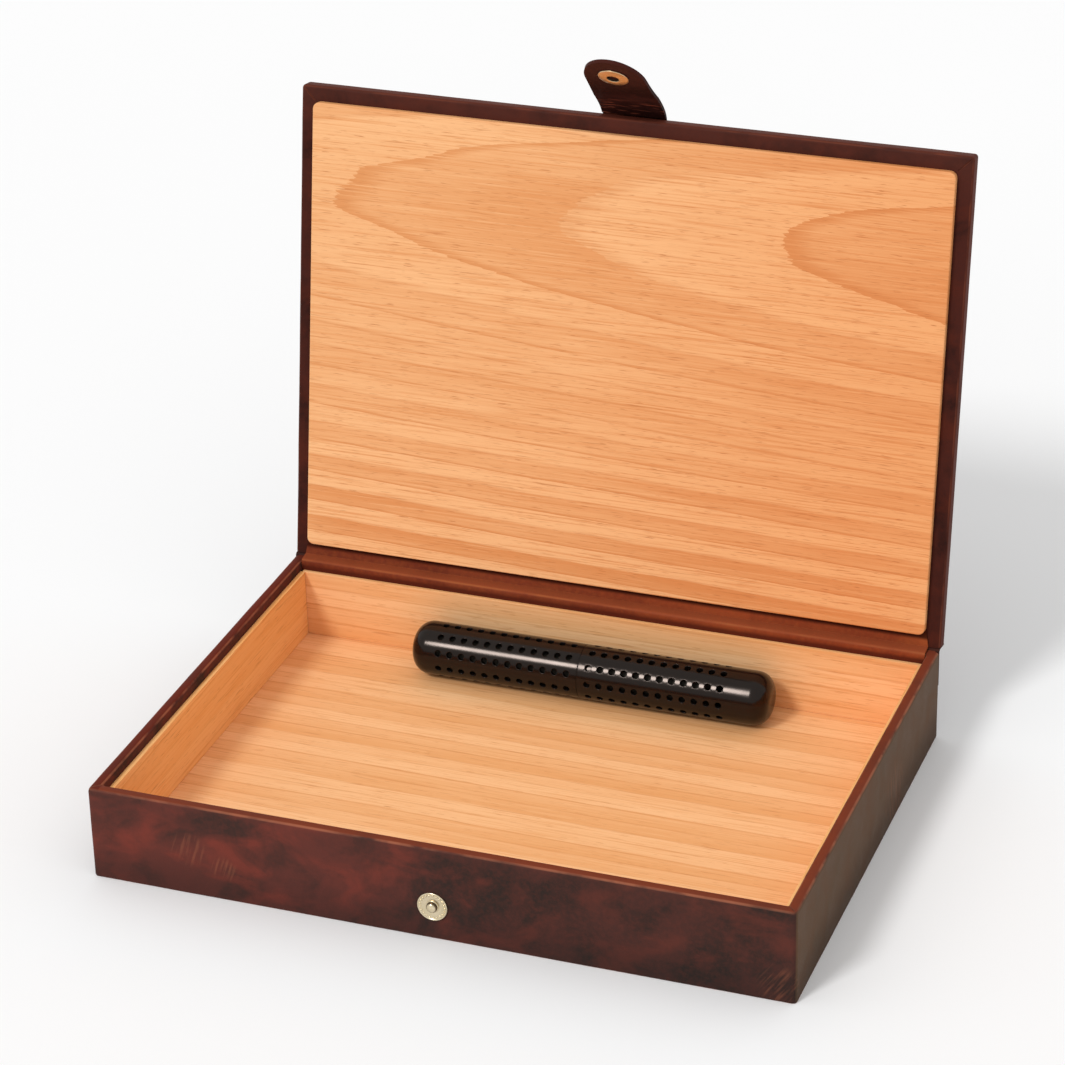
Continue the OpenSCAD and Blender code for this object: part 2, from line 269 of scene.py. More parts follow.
def close(piece, *modifiers):
    """Leaves edit mode and applies the modifiers, each given as its kind and its settings."""
    bpy.ops.object.mode_set(mode="OBJECT")
    for kind, settings in modifiers:
        apply(piece, kind, settings)


def make_active(piece):
    """Selects a piece alone and makes it the active one."""
    bpy.ops.object.select_all(action="DESELECT")
    piece.select_set(True)
    bpy.context.view_layer.objects.active = piece


def smooth(piece, angle=35.0):
    """Smooths the shading over soft edges and keeps large faces flat."""
    make_active(piece)
    bpy.ops.object.shade_smooth_by_angle(angle=math.radians(angle))
    apply(piece, "WEIGHTED_NORMAL", {"keep_sharp": True})


def score(piece, start, end, width):
    """Cuts a V-shaped seam line into a piece between two points on its surface."""
    bpy.ops.mesh.primitive_cube_add(size=1)
    bar = bpy.context.object
    line = end - start
    turn = line.to_track_quat("X", "Z").to_matrix().to_4x4()
    side = width / math.sqrt(2)
    bar.matrix_world = (Matrix.Translation((start + end) / 2) @ turn @ Matrix.Rotation(math.pi / 4, 4, "X")
                        @ Matrix.Diagonal((line.length, side, side, 1)))
    bpy.ops.object.transform_apply()
    make_active(piece)
    apply(piece, "BOOLEAN", {"operation": "DIFFERENCE", "object": bar})
    bpy.data.objects.remove(bar)


def fit(piece, material, body, slot, *nodes):
    """Gives a finished piece its material and its body, and hides the CAD nodes that it stands for; slot is
    not used.
    """
    cover(piece, material)
    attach(piece, body)
    if nodes:
        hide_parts(*nodes)


def tinted(add, under, tint, source, none, full, share):
    """Lays a tint over a colour, by a share that comes in smoothly between two levels of a source."""
    levels = {"Value": source, "From Min": none, "From Max": full, "To Max": share}
    return add("Mix", {0: add("MapRange", levels, SMOOTH), 6: under, 7: tint}, RGBA)


def waxed_leather(name, ground, shade, glow, rub, wear, turn, rub_faces, scuffs=(), bands=(), left=None,
                  left_rub=None, end=None):
    """Smooth waxed cowhide: cloudy wax, warm stretched patches, fine grain, scuffs and worn edges.

    The colours are the ground, the dark wax, the warm patches, the rubbed faces and the worn edges. turn is
    the piece's turn about X, and rub_faces the range of its own upright share over which faces are rubbed.
    Each scuff is a place, a reach and a slant, and each band a colour, the heights between which it comes in
    and its share. left tints the hide on the left half of the box, left_rub is the rubbed colour on its left
    rim, and end a painted-light colour laid over its right end face, which stands for how the light falls
    there."""
    cloud, vein, mottle, grain = 24 * MM, 13 * MM, 1.8 * MM, 0.9 * MM
    scuff_l, scuff_w = 12 * MM, 1.2 * MM
    fade, end_depth = 60 * MM, 2 * MM
    material, add = new_material(name)
    coordinates = add("TexCoord")
    place = coordinates.outputs["Object"]
    clouds = add("TexNoise",
                 {"Vector": place, "Scale": 1 / cloud, "Detail": 4.0, "Roughness": 0.6, "Distortion": 0.5})
    waxed = tinted(add, ground, shade, clouds, 0.4, 0.66, 0.95)
    where = add("SeparateXYZ", {0: place})
    moved = add("Mapping",
                {"Vector": place, "Location": (0.3, 0.7, 0.1), "Rotation": (0, 0.5, 0),
                 "Scale": (0.6, 1.0, 1.0)})
    veins = add("TexNoise",
                {"Vector": moved, "Scale": 1 / vein, "Detail": 4.0, "Roughness": 0.55, "Distortion": 0.4})
    warmed = tinted(add, waxed, glow, veins, 0.46, 0.72, 0.6)
    if left:
        leftward = add("MapRange", {"Value": where.outputs[0], "From Min": fade, "From Max": -fade}, SMOOTH)
        warmed = add("Mix", {0: leftward, 6: warmed, 7: (*left, 1.0)}, RGBA_TIMES)
    mottles = add("TexNoise", {"Vector": place, "Scale": 1 / mottle, "Detail": 4.0, "Roughness": 0.6})
    speckle = add("MapRange", {"Value": mottles, "From Min": 0.42, "From Max": 0.72, "To Max": 0.28})
    mottled = add("Mix", {0: speckle, 6: warmed, 7: glow}, RGBA)
    lean = add("VectorRotate",
               {"Vector": coordinates.outputs["Normal"], "Angle": turn}, {"rotation_type": "X_AXIS"})
    facing = add("SeparateXYZ", {0: lean})
    upright_share = add("Math", {0: facing.outputs[2], 1: facing.outputs[2]}, TIMES)
    # Painted light: the right end face takes the end colour, which stands for how the light falls on that
    # side, such as the greyish reflection of the white surround at a grazing angle.
    if end:
        end_face = add("MapRange",
                       {"Value": facing.outputs[0], "From Min": 0.6, "From Max": 0.95,
                        "To Max": 0.75}, SMOOTH)
        outermost = add("Math", {0: where.outputs[0], 1: half_w - end_depth}, {"operation": "GREATER_THAN"})
        end_light_share = add("Math", {0: end_face, 1: outermost}, TIMES)
        mottled = add("Mix", {0: end_light_share, 6: mottled, 7: end}, RGBA)
    rubbed_face = add("MapRange",
                      {"Value": upright_share, "From Min": rub_faces[0], "From Max": rub_faces[1]}, SMOOTH)
    uneven = add("MapRange",
                 {"Value": clouds, "From Min": 0.68, "From Max": 0.4, "To Min": 0.65,
                  "To Max": 0.95}, SMOOTH)
    rub_share = add("Math", {0: rubbed_face, 1: uneven}, TIMES)
    leftmost = add("Math", {0: where.outputs[0], 1: -rim_in_x}, {"operation": "LESS_THAN"})
    rub_colour = add("Mix", {0: leftmost, 6: rub, 7: left_rub or rub}, RGBA)
    rubbed = add("Mix", {0: rub_share, 6: mottled, 7: rub_colour}, RGBA)
    for band_colour, none, full, share in bands:
        rubbed = tinted(add, rubbed, band_colour, where.outputs[2], none, full, share)
    rounding = add("Math", {0: upright_share, 1: -1.0, 2: 1.0}, TIMES_PLUS)
    edge = add("Math", {0: upright_share, 1: rounding}, TIMES)
    edge_share = add("MapRange", {"Value": edge, "From Min": 0.14, "From Max": 0.25, "To Max": 0.6}, SMOOTH)
    handled = add("MapRange", {"Value": veins, "From Min": 0.32, "From Max": 0.6}, SMOOTH)
    worn = add("Math", {0: edge_share, 1: handled}, TIMES)
    edged = add("Mix", {0: worn, 6: rubbed, 7: wear}, RGBA)
    colour, marks = edged, speckle
    for centre, reach, slant in scuffs:
        away = add("VectorMath", {0: place, 1: centre}, {"operation": "DISTANCE"})
        patch = add("MapRange", {"Value": away, "From Min": reach, "From Max": 0.45 * reach}, SMOOTH)
        slanted = add("Mapping",
                      {"Vector": place, "Rotation": slant,
                       "Scale": (scuff_w, scuff_w, scuff_l)}, {"vector_type": "TEXTURE"})
        strokes = add("TexNoise", {"Vector": slanted, "Scale": 1.0, "Detail": 1.5})
        stroke = add("MapRange",
                     {"Value": strokes, "From Min": 0.44, "From Max": 0.7, "To Max": 0.2}, SMOOTH)
        scuff = add("Math", {0: stroke, 1: patch}, TIMES)
        colour = add("Mix", {0: scuff, 6: colour, 7: wear}, RGBA)
        marks = add("Math", {0: marks, 1: scuff}, {"operation": "ADD"})
    pebble = add("TexNoise", {"Vector": place, "Scale": 1 / grain, "Detail": 4.0, "Roughness": 0.65})
    grained = add("Bump", {"Height": pebble, "Strength": 0.25, "Distance": 0.12 * MM})
    scuffed = add("Bump", {"Height": marks, "Strength": 0.3, "Distance": 0.1 * MM, "Normal": grained})
    gloss = add("MapRange",
                {"Value": veins, "From Min": 0.3, "From Max": 0.7, "To Min": 0.44, "To Max": 0.58})
    shader = add("BsdfPrincipled",
                 {"Base Color": colour, "Roughness": gloss, "IOR": 1.1, "Normal": scuffed})
    add("OutputMaterial", {"Surface": shader})
    return material


front_scuffs = (((-88.4 * MM, front_y, 17.9 * MM), 8 * MM, (0, 0.3, 0)),
                ((-75.5 * MM, front_y, 12.0 * MM), 6 * MM, (0, 0.3, 0)),
                ((119.5 * MM, front_y, 6.5 * MM), 9 * MM, (0, 0.6, 0)),
                ((half_w, 30 * MM, 12 * MM), 14 * MM, (0.2, 0, 0)),
                ((-half_w, -20 * MM, 20 * MM), 12 * MM, (-0.4, 0, 0)),
                ((40 * MM, back_y, 12 * MM), 12 * MM, (0, 0.5, 0)))
base_bands = (("#2b2220", 18 * MM, 2 * MM, 0.4),)
# Its last colour, #644e3a, is painted on the right end face: a painted reflection, the greyish sheen of the
# white surround seen there at a grazing angle.
base_leather = waxed_leather("waxed_cowhide_base", "#472c27", "#2b2522", "#64332a", "#763724", "#a8664a",
                             0.0, (0.35, 0.85), front_scuffs, base_bands, (1.75, 1.28, 1.24), "#64271a",
                             "#644e3a")

covering = block("base_leather", Vector((-half_w, front_y, 0)), Vector((half_w, back_y, rim_z)))
pick("FACE", lambda m, f: f.normal.z > 0.9)
bpy.ops.mesh.inset(thickness=rim_w)
pull_out((0, 0, turn_z - rim_z))
bpy.ops.mesh.delete(type="FACE")
pick("FACE", lambda m, f: f.normal.z < -0.9)
bpy.ops.mesh.inset(thickness=turn_under)
bpy.ops.mesh.delete(type="FACE")
# The back rim and its turn-down are left out between the side rims, where the hinge lining lies
pick("FACE", lambda m, f: f.normal.z > 0.9 and m.y > back_y - rim_w)
for side in (-1, 1):
    bpy.ops.mesh.bisect(plane_co=(side * rim_in_x, 0, 0), plane_no=(1, 0, 0))
    pick("FACE", lambda m, f: f.normal.z > 0.9 and m.y > back_y - rim_w)
pick("FACE", lambda m, f: m.y > back_y - rim_w - near and abs(m.x) < rim_in_x - near and m.y < back_y - near)
bpy.ops.mesh.delete(type="FACE")
round_off(edge_r, 4, lambda m, e: (
    (upright(e) and same(abs(m.x), half_w) and same(m.y, front_y))
    or (same(m.z, rim_z) and len(e.link_faces) == 2 and (same(abs(m.x), half_w) or same(m.y, front_y)))))
round_off(under_edge_r, 3, lambda m, e: (
    (upright(e) and same(abs(m.x), half_w) and same(m.y, back_y))
    or (same(m.z, 0) and len(e.link_faces) == 2 and any(f.normal.z > -0.5 for f in e.link_faces))))
round_off(inner_edge_r, 3, lambda m, e: len(e.link_faces) == 2 and (
    (same(m.z, rim_z) and (
        (same(abs(m.x), rim_in_x) and not same(e.verts[0].co.y, e.verts[1].co.y))
        or same(m.y, front_y + rim_w)))
    or (upright(e) and same(abs(m.x), rim_in_x) and same(m.y, front_y + rim_w))))
slice_up(0, -half_w, half_w, cut_step)
slice_up(1, front_y, back_y, cut_step)
slice_up(2, 0, rim_z, cut_step)
leather_waves = bpy.data.textures.new("leather_waves", "CLOUDS")
leather_waves.noise_scale = wave_l
leather_waves.noise_depth = 2
ripple = ("DISPLACE", {"texture": leather_waves, "texture_coords": "LOCAL", "strength": wave_h})
skin = ("SOLIDIFY", {"thickness": leather_t, "offset": -1})
close(covering, ripple, skin)
for side in (-1, 1):
    score(covering, Vector((side * half_w, front_y, rim_z)),
          Vector((side * rim_in_x, front_y + rim_w, rim_z)), seam_w)
smooth(covering)
fit(covering, base_leather, "base", "leather",
    "front_leather", "left_leather", "right_leather", "back_leather")

# Underside: a plain leather sheet glued on from below, which hides the leather turned under the walls.
# Its cut edge is softened, and its face is scuffed flat by the shelf.
under_low, under_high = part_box("underside_cover")
under_edge = 0.3 * MM
underside_leather = waxed_leather("plain_dark_split_leather", "#33211c", "#2a1f1c", "#402a22", "#3a261f",
                                  "#4c3428", 0.0, (0.35, 0.85))
underside = block("underside_sheet", under_low, under_high)
pick("FACE", lambda m, f: f.normal.z < -0.9)
bpy.ops.mesh.inset(thickness=2 * under_edge)
round_off(3 * under_edge, 3, lambda m, e: upright(e))
round_off(under_edge, 2, lambda m, e: same(m.z, under_low.z) and (
    same(abs(m.x), under_high.x) or same(abs(m.y), under_high.y)))
close(underside)
smooth(underside)
fit(underside, underside_leather, "base", "underside", "underside_cover")

# Cedar lining: a floor sheet and four liners of bare Spanish cedar, sanded and pressed in unglued.
# The floor and the long liners are cut along the box, and the end liners across it.
cedar_edge = 0.3 * MM
liner_gap = 0.7 * MM


def cedar(name, place_of, rings_of, light, deep, line, ring, year_turn, bold, outline, wander, ragged_by,
          pored, right_shade_share=0.0):
    """Sanded Spanish cedar: soft growth rings with bristly edges, fine fibres and short dark pores.

    place_of gives the coordinates with the grain along X, and rings_of the distance across the rings. ring
    is a ring's width, year_turn the change from one to the next, bold and outline how strongly the rings
    and their rims show, wander and ragged_by how far they stray and fray, pored the share of open pores,
    and right_shade_share how far painted shade darkens the wood towards its right end, away from the lamp."""
    year_start = 2.58
    drift_l, drift_w = 160 * MM, 22 * MM
    bristle_l, bristle_w = 16 * MM, 0.8 * MM
    fibre_l, fibre_w = 32 * MM, 0.55 * MM
    pore_l, pore_w = 6.5 * MM, 0.28 * MM
    shade_from, shade_to = -60 * MM, 130 * MM
    material, add = new_material(name)
    place = place_of(add)
    layers = []
    for length, width, detail in ((drift_l, drift_w, 2.0), (bristle_l, bristle_w, 2.0),
                                  (fibre_l, fibre_w, 3.0), (pore_l, pore_w, 1.0)):
        along = add("Mapping", {"Vector": place, "Scale": (1 / length, 1 / width, 1 / width)})
        layers.append(add("TexNoise", {"Vector": along, "Scale": 1.0, "Detail": detail}))
    drift, bristle, fibre, pore = layers
    wavy = add("Math", {0: drift, 1: wander, 2: rings_of(add, place)}, TIMES_PLUS)
    ragged = add("Math", {0: bristle, 1: ragged_by, 2: wavy}, TIMES_PLUS)
    phase = add("Math", {0: ragged, 1: ring}, {"operation": "DIVIDE"})
    within = add("Math", {0: phase}, {"operation": "FRACT"})
    year = add("Math", {0: phase}, {"operation": "FLOOR"})
    years = add("Math", {0: year, 1: year_turn, 2: year_start}, TIMES_PLUS)
    good_year = add("Math", {0: years}, {"operation": "SINE"})
    late = add("MapRange", {"Value": within, "From Min": 0.95, "From Max": 0.15, "To Min": 0.75}, SMOOTH)
    late_share = add("MapRange",
                     {"Value": good_year, "From Min": -1.0, "To Min": 0.1 * bold, "To Max": bold})
    patchy = add("MapRange", {"Value": drift, "From Min": 0.36, "From Max": 0.6, "To Min": 0.65})
    late_here = add("Math", {0: late, 1: patchy}, TIMES)
    ringed = add("Math", {0: late_here, 1: late_share}, TIMES)
    body = add("Mix", {0: ringed, 6: light, 7: deep}, RGBA)
    rim_line = add("MapRange", {"Value": within, "From Min": 0.84, "From Max": 0.98}, SMOOTH)
    rimmed_share = add("Math", {0: rim_line, 1: late_share}, TIMES)
    rimmed = add("Mix", {0: rimmed_share, 6: body, 7: deep}, RGBA)
    broken = add("MapRange",
                 {"Value": fibre, "From Min": 0.36, "From Max": 0.62, "To Max": outline}, SMOOTH)
    lined_share = add("Math", {0: rim_line, 1: broken}, TIMES)
    lined = add("Mix", {0: lined_share, 6: rimmed, 7: line}, RGBA)
    streaked = tinted(add, lined, deep, fibre, 0.46, 0.72, 0.75)
    sheened = tinted(add, streaked, light, fibre, 0.46, 0.26, 0.5)
    haired = tinted(add, sheened, line, bristle, 0.6, 0.78, 0.55)
    pore_level = add("MapRange",
                     {"Value": late, "To Min": 0.79 - 0.1 * pored, "To Max": 0.72 - 0.1 * pored})
    deep_pore = add("Math", {0: pore, 1: pore_level}, {"operation": "SUBTRACT"})
    pores = add("MapRange", {"Value": deep_pore, "From Max": 0.07, "To Max": 0.75})
    pored_wood = add("Mix", {0: pores, 6: haired, 7: line}, RGBA)
    end = add("SeparateXYZ", {0: place})
    # Painted shade: the colour darkens towards the right end, away from the lamp.
    rightward_shade = add("MapRange",
                    {"Value": end.outputs[0], "From Min": shade_from, "From Max": shade_to,
                     "To Max": right_shade_share}, SMOOTH)
    colour = add("Mix", {0: rightward_shade, 6: pored_wood, 7: "#f2cfae"}, RGBA_TIMES)
    hollow = add("Math", {0: fibre, 1: pores}, {"operation": "SUBTRACT"})
    relief = add("Bump", {"Height": hollow, "Strength": 0.2, "Distance": 0.08 * MM})
    shader = add("BsdfPrincipled",
                 {"Base Color": colour, "Roughness": 0.6, "IOR": 1.5, "Specular IOR Level": 0.25,
                  "Normal": relief})
    add("OutputMaterial", {"Surface": shader})
    return material


def lengthwise(add):
    """Coordinates of a board whose grain runs along the box."""
    return add("TexCoord").outputs["Object"]


def crosswise(add):
    """Coordinates of a board whose grain runs from front to back."""
    place = add("TexCoord").outputs["Object"]
    return add("Mapping", {"Vector": place, "Rotation": (0, 0, math.pi / 2)})


def straight_rings(add, place):
    """Distance across quarter-sawn rings, which run straight along the grain."""
    return add("VectorMath", {0: place, 1: (0.012, 1.0, 0.9)}, {"operation": "DOT_PRODUCT"})


long_cedar = cedar("sanded_cedar_lengthwise", lengthwise, straight_rings, "#f7c490", "#e6a66a", "#c67f44",
                   ring=6.4 * MM, year_turn=1.7, bold=0.95, outline=0.5, wander=5 * MM,
                   ragged_by=0.7 * MM, pored=0.5)
# Its colours are brighter and more orange than the lengthwise cedar's: painted light, which stands for the
# warm bounce light on the left liner, standing in shade. The grain's turn is the wood's own.
cross_cedar = cedar("sanded_cedar_crosswise", crosswise, straight_rings, "#fbc07e", "#eea45a", "#c87e3e",
                    ring=6.4 * MM, year_turn=1.7, bold=0.7, outline=0.25, wander=5 * MM,
                    ragged_by=0.7 * MM, pored=0.5)
for name in ("cedar_floor", "cedar_front_liner", "cedar_back_liner", "cedar_left_liner",
             "cedar_right_liner"):
    low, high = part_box(name)
    end_gap = Vector((liner_gap if name in ("cedar_front_liner", "cedar_back_liner") else 0, 0, 0))
    liner = block(name + "_board", low + end_gap, high - end_gap)
    bpy.ops.mesh.select_all(action="SELECT")
    bpy.ops.mesh.bevel(offset=cedar_edge, segments=2, affect="EDGES")
    close(liner)
    smooth(liner)
    end_liner = name in ("cedar_left_liner", "cedar_right_liner")
    fit(liner, cross_cedar if end_liner else long_cedar, "base", "cedar", name)

# Press stud on the front: a plated brass disc with a raised rim, a ring of stamped beads and a ball head.
# Its tubular rivet passes through the wall and is spread inside, where the cedar hides it.
stud_low, stud_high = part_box("snap_stud")
stud_r = (stud_high.x - stud_low.x) / 2
stud_at = Vector((0, front_y, (stud_low.z + stud_high.z) / 2))
stud_rim_h = 0.75 * MM
stud_field_h = 0.5 * MM
stud_neck_r = 1.2 * MM
stud_collar_r = 2.3 * MM
stud_head_r = 1.9 * MM
stud_head_h = stud_high.y - stud_low.y
bead_count = 21
bead_r = 0.4 * MM
bead_ring_r = stud_r - 1.05 * MM
post_r = 2.6 * MM
lathe_steps = 64


def profile(name, points):
    """A line through the points, drawn by extruding one vertex, open for editing and all selected."""
    bpy.ops.mesh.primitive_plane_add(size=MM)
    piece = open_new(name)
    bpy.ops.mesh.select_mode(type="VERT")
    bpy.ops.mesh.select_all(action="SELECT")
    bpy.ops.mesh.merge(type="CENTER")
    bpy.ops.transform.translate(value=points[0])
    for before, after in zip(points, points[1:]):
        pull_out(Vector(after) - Vector(before))
    bpy.ops.mesh.select_all(action="SELECT")
    return piece


def turned(name, outline, steps):
    """A piece turned about Z from an outline of (radius, height) points, open for editing."""
    piece = profile(name, [(r, 0, h) for r, h in outline])
    bpy.ops.mesh.spin(steps=steps, angle=2 * math.pi, center=(0, 0, 0), axis=(0, 0, 1))
    bpy.ops.mesh.select_all(action="SELECT")
    bpy.ops.mesh.remove_doubles(threshold=near / 10)
    bpy.ops.mesh.normals_make_consistent(inside=False)
    return piece


def arc(centre, radius, start, end, count):
    """Points on an arc, angles in degrees."""
    angles = [math.radians(start + (end - start) * i / count) for i in range(count + 1)]
    return [(centre[0] + radius * math.cos(a), centre[1] + radius * math.sin(a)) for a in angles]


def put(piece, matrix):
    """Moves a finished piece into place and leaves its object at the origin."""
    make_active(piece)
    piece.matrix_world = matrix
    bpy.ops.object.transform_apply()


def lathed(name, outline, matrix, *modifiers, steps=lathe_steps, angle=40.0):
    """A turned piece, finished by its modifiers, moved into place and smoothed."""
    piece = turned(name, outline, steps)
    close(piece, *modifiers)
    put(piece, matrix)
    smooth(piece, angle)
    return piece


def plated_brass(name, tint, cloud_tint, roughness, middle, axis, tarnish_and_shade_r):
    """Polished plating over stamped brass: bright, with faint clouding and fine handling marks.

    Dark colour lies on the steep sides of the post, within a radius from the middle: partly tarnish, partly
    painted shade and dark reflection that deepen the stud's neck and the socket's mouth."""
    cloud = 2.5 * MM
    mark_l, mark_w = 2.0 * MM, 0.12 * MM
    material, add = new_material(name)
    coordinates = add("TexCoord")
    place = coordinates.outputs["Object"]
    clouds = add("TexNoise", {"Vector": place, "Scale": 1 / cloud, "Detail": 4.0})
    clouded = add("Mix", {0: clouds, 6: tint, 7: cloud_tint}, RGBA)
    away = add("VectorMath", {0: place, 1: middle}, {"operation": "DISTANCE"})
    # Painted shade and reflection, partly tarnish: steep faces near the post turn dark brown.
    near_post = add("MapRange", {"Value": away, "From Min": tarnish_and_shade_r, "From Max": 0.75 * tarnish_and_shade_r}, SMOOTH)
    level = add("VectorMath", {0: coordinates.outputs["Normal"], 1: axis}, {"operation": "DOT_PRODUCT"})
    steep = add("MapRange", {"Value": level, "From Min": 0.88, "From Max": 0.5, "To Max": 0.9}, SMOOTH)
    tarnish_and_shade = add("Math", {0: near_post, 1: steep}, TIMES)
    colour = add("Mix", {0: tarnish_and_shade, 6: clouded, 7: "#4a3428"}, RGBA)
    mark_at = add("Mapping",
                  {"Vector": place, "Rotation": (0.3, 0.5, 0.8),
                   "Scale": (1 / mark_l, 1 / mark_w, 1 / mark_w)})
    marks = add("TexNoise", {"Vector": mark_at, "Scale": 1.0, "Detail": 2.0})
    relief = add("Bump", {"Height": marks, "Strength": 0.08, "Distance": 0.03 * MM})
    polish = add("MapRange",
                 {"Value": clouds, "From Min": 0.3, "From Max": 0.7, "To Min": roughness * 0.8,
                  "To Max": roughness * 1.3})
    shader = add("BsdfPrincipled",
                 {"Base Color": colour, "Metallic": 1.0, "Roughness": polish, "Normal": relief})
    add("OutputMaterial", {"Surface": shader})
    return material


stud_plating = plated_brass("pale_nickel_plated_brass", "#e8d8bc", "#d8caa4", 0.26,
                            stud_at - Vector((0, stud_head_h * 0.6, 0)), (0, -1, 0), post_r)
rim_round = 0.35 * MM
head_centre_h = stud_head_h - stud_head_r * 0.62
stud_outline = (
    [(0, 0), (stud_r - 0.1 * MM, 0)]
    + arc((stud_r - rim_round, stud_rim_h - rim_round), rim_round, -20, 160, 6)
    + [(stud_r - 0.75 * MM, stud_field_h), (stud_r - 1.6 * MM, stud_field_h),
       (stud_collar_r + 0.3 * MM, stud_field_h * 0.75), (stud_collar_r, stud_field_h * 0.7)]
    + arc((stud_collar_r - 0.3 * MM, stud_field_h * 0.75), 0.3 * MM, 10, 170, 5)
    + [(stud_neck_r, stud_field_h * 0.85), (stud_neck_r * 0.96, stud_field_h + 0.45 * MM)]
    + [(stud_head_r * math.cos(a), head_centre_h + stud_head_r * 0.62 * math.sin(a))
       for a in [math.radians(-48 + 138 * i / 8) for i in range(9)]]
)
stud = turned("press_stud", stud_outline, lathe_steps)
close(stud)
beads = []
for i in range(bead_count):
    angle = 2 * math.pi * i / bead_count
    bpy.ops.mesh.primitive_uv_sphere_add(
        segments=10, ring_count=6, radius=bead_r,
        location=(bead_ring_r * math.cos(angle), bead_ring_r * math.sin(angle), stud_field_h),
        scale=(1, 1, 0.75))
    beads.append(bpy.context.object)
make_active(stud)
for bead in beads:
    bead.select_set(True)
bpy.ops.object.join()
put(stud, Matrix.Translation(stud_at) @ Matrix.Rotation(math.pi / 2, 4, "X"))
smooth(stud, 40.0)
fit(stud, stud_plating, "base", "nickel", "snap_stud")
cover(frame["nodes"]["snap_stud_rivet"], stud_plating)

# Hinge: one strip of leather glued outside, from the back wall to the lid's back edge, and one inside,
# from behind the cedar over the rim and up to the lid's panel. Both fold on the hinge line.
spine_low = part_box("hinge_spine")[0]
lining_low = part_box("hinge_lining")[0]
rim_gap = 2 * (hinge_at.z - rim_z)
lid_in = rim_z + rim_gap
ply_t = 1.0 * MM
fold_open = Vector(joints["tab_flex"]["pos_m"])
swing = (Matrix.Translation(hinge_at) @ Matrix.Rotation(-lid_open, 4, "X") @ Matrix.Translation(-hinge_at))
fold_at = swing.inverted() @ fold_open
lid_out = fold_at.z - ply_t / 2
lid_border = 5.4 * MM
lid_edge_r = 1.3 * MM
panel_y = hinge_at.y - lid_border
panel_x = half_w - lid_border
panel_tuck = 1.6 * MM
fold_r = 0.9 * MM
glue_gap = 0.1 * MM
fold_inset = 0.4 * MM
widen_z = rim_z + 1.5 * MM
spine_half = half_w - 0.05 * MM
spine_short = 0.3 * MM
lining_half = rim_in_x - 0.1 * MM
lining_t = leather_t - 0.1 * MM
lining_edge_r = 0.8 * MM
band_step = 8 * MM
cut_edge = 0.2 * MM
# Painted shade: the lower band darkens the lining's turn-down inside the back wall, which is less lit, and
# the upper band paints the shadow that the raised cedar panel casts on the lid's border below it.
hinge_painted_shade_bands = (("#4a1d14", rim_z - 0.6 * MM, rim_z - 2.5 * MM, 0.85),
               ("#2e100a", rim_z + 3.1 * MM, rim_z + 4.6 * MM, 0.9))
hinge_leather = waxed_leather("waxed_cowhide_hinge", "#8e4326", "#7c3821", "#9c5029", "#8c4529", "#9e5a33",
                              0.0, (0.1, 0.5), (), hinge_painted_shade_bands, (0.68, 0.7, 0.92))
spine_leather = waxed_leather("waxed_cowhide_spine", "#3a211c", "#2a1d1b", "#54291f", "#3a211c", "#42261e",
                              0.0, (0.35, 0.85))


def swung(y, z):
    """Point (y, z) of the closed lid, where the lid stands open."""
    point = swing @ Vector((0, y, z))
    return point.y, point.z


def rounded(points, radii, count=5):
    """Points (y, z) of a line whose inner corners are rounded by the radii."""
    line = [points[0]]
    for i in range(1, len(points) - 1):
        corner = Vector(points[i])
        back = (Vector(points[i - 1]) - corner).normalized()
        on = (Vector(points[i + 1]) - corner).normalized()
        half = back.angle(on) / 2
        reach = radii[i - 1] / math.tan(half)
        start, end = corner + back * reach, corner + on * reach
        for k in range(count + 1):
            t = k / count
            line.append(tuple(start * (1 - t) ** 2 + corner * 2 * t * (1 - t) + end * t ** 2))
    return line + [points[-1]]


def band(name, line, half_x):
    """A band of leather along X whose outer face follows a line of (y, z) points, open for editing."""
    piece = profile(name, [(-half_x, y, z) for y, z in line])
    pull_out((2 * half_x, 0, 0))
    slice_up(0, -half_x, half_x, band_step)
    return piece


wall_in_y = lining_low.y
lining_line = rounded(
    [(wall_in_y, turn_z), (wall_in_y, rim_z), swung(hinge_at.y - fold_inset, lid_in - glue_gap),
     swung(panel_y - panel_tuck, lid_in - glue_gap)],
    [lining_edge_r, fold_r])
lining = band("hinge_lining_strip", lining_line, lining_half)
pick("VERT", lambda m, v: m.z > widen_z)
bpy.ops.transform.resize(value=(panel_x / lining_half, 1, 1), center_override=(0, 0, 0))
close(lining, ripple, ("SOLIDIFY", {"thickness": lining_t, "offset": -1}))
smooth(lining, 60.0)

spine_line = rounded(
    [(hinge_at.y, spine_low.z), (hinge_at.y, hinge_at.z), swung(hinge_at.y, lid_out - spine_short)], [fold_r])
spine = band("hinge_spine_strip", spine_line, spine_half)
close(spine, ripple, ("SOLIDIFY", {"thickness": strip_t, "offset": -1}),
      ("BEVEL", {"width": cut_edge, "segments": 2, "limit_method": "ANGLE",
                 "angle_limit": math.radians(60)}))
smooth(spine, 60.0)
for strip, material, start, end, node in (
        (lining, hinge_leather, (0, hinge_at.y - 1.0 * MM, rim_z),
         (0, hinge_at.y + 0.4 * MM, rim_z + 1.4 * MM), "hinge_lining"),
        (spine, spine_leather, (0, hinge_at.y, hinge_at.z - 1.4 * MM),
         (0, hinge_at.y + 1.2 * MM, hinge_at.z), "hinge_spine")):
    cover(strip, material)
    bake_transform(strip)
    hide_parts(node)

# Lid covering: leather glued over the outside and three edges of the lid's board and turned in as a border,
# mitred at the two front corners. The hinge lining closes the fourth side.
lid_seam_w = 0.7 * MM
lid_bands = (("#60352b", 190 * MM, 212 * MM, 0.22),)
